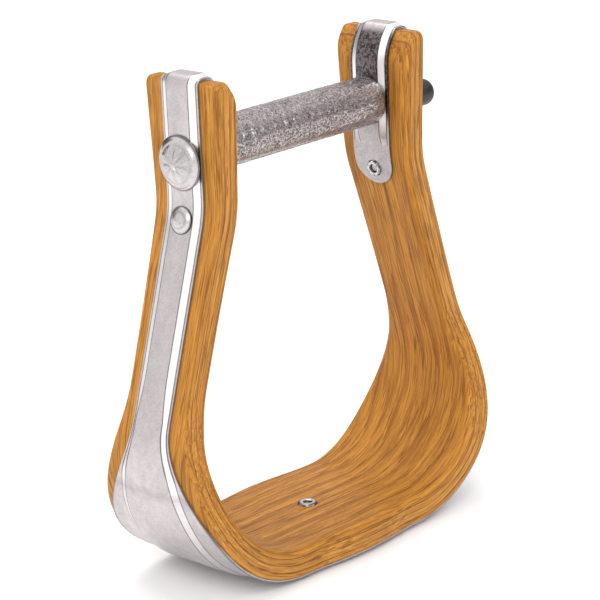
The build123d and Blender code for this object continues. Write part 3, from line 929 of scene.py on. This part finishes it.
def rolled_end(part, grip, clinch, height, split):
    """The open end of a tube rivet, split between its petals and rolled over outwards."""
    petal = 1 - abs(2 * part - 1)**7
    reach_out = clinch - 0.00035 * split * (1 - petal)
    crown = height * (1 - 0.28 * split * (1 - petal))
    middle = (reach_out + rivet_bore) / 2
    span = (reach_out - rivet_bore) / 2
    line = [(rivet_radius, -grip + 0.0001), (rivet_radius, -grip)]
    line += [(middle + span * cos(turn), -grip - crown * sin(turn)) for turn in np.linspace(0, pi, 11)]
    return line + [(rivet_bore, -grip + bore_depth), (0, -grip + bore_depth + 0.0008)]


def neck_rivet_outline(part):
    """Domed head with a faint pressed ring, shank and rolled end."""
    line = []
    rim, rise = 0.00445, 0.0017
    ball = (rim**2 + rise**2) / (2 * rise)
    for step in range(19):
        radius = rim * step / 18
        height = rise - 0.00012 - ball + sqrt(ball**2 - radius**2)
        line.append((radius, max(height + 0.00010 * swell_up(radius, 0.0033, 0.0007), 0.00012)))
    line += [(rim, 0.00005), (rim - 0.0002, 0), (rivet_radius, 0)]
    return line + rolled_end(part, wood + skin + skin + panel_rise + rivet_stand_off, 0.00295, 0.0008, 1)


def tread_rivet_outline(part):
    """Head let in flush under the tread, shank and rolled end on top of the wood."""
    line = [(0, -0.00035), (0.0012, -0.00030), (0.0020, -0.00008), (0.0034, -0.00005), (0.0036, -0.00012),
            (rivet_radius, -skin)]
    return line + rolled_end(part, wood_bottom + wood, 0.00335, 0.0008, 0)


def rivet_painted_shade(radius, height, part):
    """Painted shade round the rim of the head and the roll, in a pressed ring, and in the open bore."""
    far_end = height < -0.003
    if far_end and radius < rivet_bore + 0.0004:
        return 1.0
    at_rim = radius > 0.0042 or (far_end and radius > 0.0027)
    return 0.7 * at_rim + 0.3 * swell_up(radius, 0.0026, 0.0006)


rivet_reach = shoulder_radius - skin - panel_rise - rivet_stand_off
for side, rivet_name in ((-1, "near_neck_rivet"), (1, "off_neck_rivet")):
    facing = (side * cos(rivet_slope), 0, sin(rivet_slope))
    seat = (side * shoulder_x - rivet_reach * facing[0], 0, shoulder_z - rivet_reach * facing[2])
    turned_piece(rivet_name + "_steel", rivet_name, "bow", bright_steel, neck_rivet_outline,
                 6, 8, facing, seat, painted_shade=rivet_painted_shade)
turned_piece("tread_rivet_steel", "tread_rivet", "bow", bright_steel, tread_rivet_outline,
             6, 8, (0, 0, -1), (0, 0, 0), painted_shade=rivet_painted_shade)

# ---- washer, nut and its locking ring ----
# A flat washer and a locking hexagon nut hold the bolt. The nut's collar is swaged over a nylon ring.
washer_height, nut_height, collar_height, ring_height = 0.0012, 0.0042, 0.0018, 0.0016
nut_bore = 0.00405
hex_flat = 0.00635


def washer_outline(part):
    """A punched washer, rolled at the upper edge and sharp at the lower."""
    return [(0.0043, 0.00012), (0.00445, 0), (0.00855, 0), (0.0087, 0.0001), (0.00873, 0.0006),
            (0.0086, 0.0010), (0.0083, washer_height), (0.0046, washer_height), (0.0043, 0.00105)]


def nut_outline(part):
    """One side of the hexagon with its chamfers, then the collar."""
    corner = hex_flat / cos((part - 0.5) * pi / 3)
    bevel = (corner - hex_flat) * 0.55 + 0.00015
    collar = nut_height + collar_height
    return [(nut_bore, 0.0005), (0.0046, 0), (hex_flat - 0.0002, 0), (corner, bevel),
            (corner, nut_height - bevel), (hex_flat - 0.0003, nut_height), (0.0058, nut_height),
            (0.0056, nut_height + 0.0002), (0.0056, collar - 0.0005), (0.0054, collar - 0.00015),
            (0.0051, collar), (0.00495, collar - 0.0001), (0.00495, collar - ring_height),
            (nut_bore, collar - ring_height)]


def ring_outline(part):
    """The nylon ring in the collar."""
    low, high = nut_height + collar_height - ring_height, nut_height + collar_height - 0.0001
    return [(0.0041, low), (0.0049, low), (0.0049, high - 0.0002), (0.0047, high), (0.0043, high),
            (0.0041, high - 0.0002)]


tree, shader, nylon = new_material("natural_nylon")
cloud = noise_node(tree, object_place(tree), 700.0, 3.0, 0.55)
tinted = blend_colours(tree, cloud, (0.80, 0.79, 0.72, 1), (0.62, 0.60, 0.52, 1))
tree.links.new(tinted, shader.inputs["Base Color"])
tree.links.new(remap(tree, cloud, 0.2, 0.8, 0.38, 0.6), shader.inputs["Roughness"])
nut_x = seat_x + washer_height
turned_piece("washer_steel", "flat_washer", "washer", bright_steel, washer_outline, 4, 16,
             (1, 0, 0), (seat_x, 0, bolt_z), closed=True)
turned_piece("lock_nut_steel", "lock_nut", "nut", bright_steel, nut_outline, 6, 12,
             (1, 0, 0), (nut_x, 0, bolt_z), closed=True, crease=25)
turned_piece("lock_ring_nylon", "lock_ring", "nut", nylon, ring_outline, 4, 14,
             (1, 0, 0), (nut_x, 0, bolt_z), closed=True)

# ---- the thread cap ----
# A black rubber cap, moulded with a round tip and a thin bead at its mouth, is pushed over the thread.
cap_low, cap_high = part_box("thread_cap")
cap_long = cap_high[0] - cap_low[0]
cap_radius = (cap_high[2] - cap_low[2]) / 2
cap_tip, cap_bore = 0.0032, 0.00405


def cap_outline(part):
    """Round tip, plain wall, a bead at the mouth, and the blind bore."""
    wall = cap_radius - 0.0001
    line = [(0, cap_long)]
    line += [(wall - cap_tip + cap_tip * sin(turn), cap_long - cap_tip + cap_tip * cos(turn))
             for turn in np.linspace(0.0, pi / 2, 10)]
    line += [(wall, 0.0018), (cap_radius - 0.00018, 0.0013), (cap_radius, 0.0010), (cap_radius, 0.0003),
             (cap_radius - 0.0002, 0), (cap_bore + 0.0002, 0), (cap_bore, 0.0003),
             (cap_bore, cap_long - 0.0023), (0, cap_long - 0.0021)]
    return line


tree, shader, rubber = new_material("black_rubber")
where = object_place(tree)
bloom = noise_node(tree, where, 260.0, 5.0, 0.65)
dusty = blend_colours(tree, remap(tree, bloom, 0.45, 0.75), (0.010, 0.010, 0.011, 1), (0.035, 0.034, 0.033, 1))
tree.links.new(dusty, shader.inputs["Base Color"])
tree.links.new(remap(tree, bloom, 0.3, 0.7, 0.34, 0.55), shader.inputs["Roughness"])
roughen(tree, shader, noise_node(tree, where, 2600.0, 2.0, 0.55), 0.4, 0.00004)
turned_piece("thread_cap_rubber", "thread_cap", "cap", rubber, cap_outline, 4, 16,
             (1, 0, 0), (cap_low[0], 0, bolt_z))
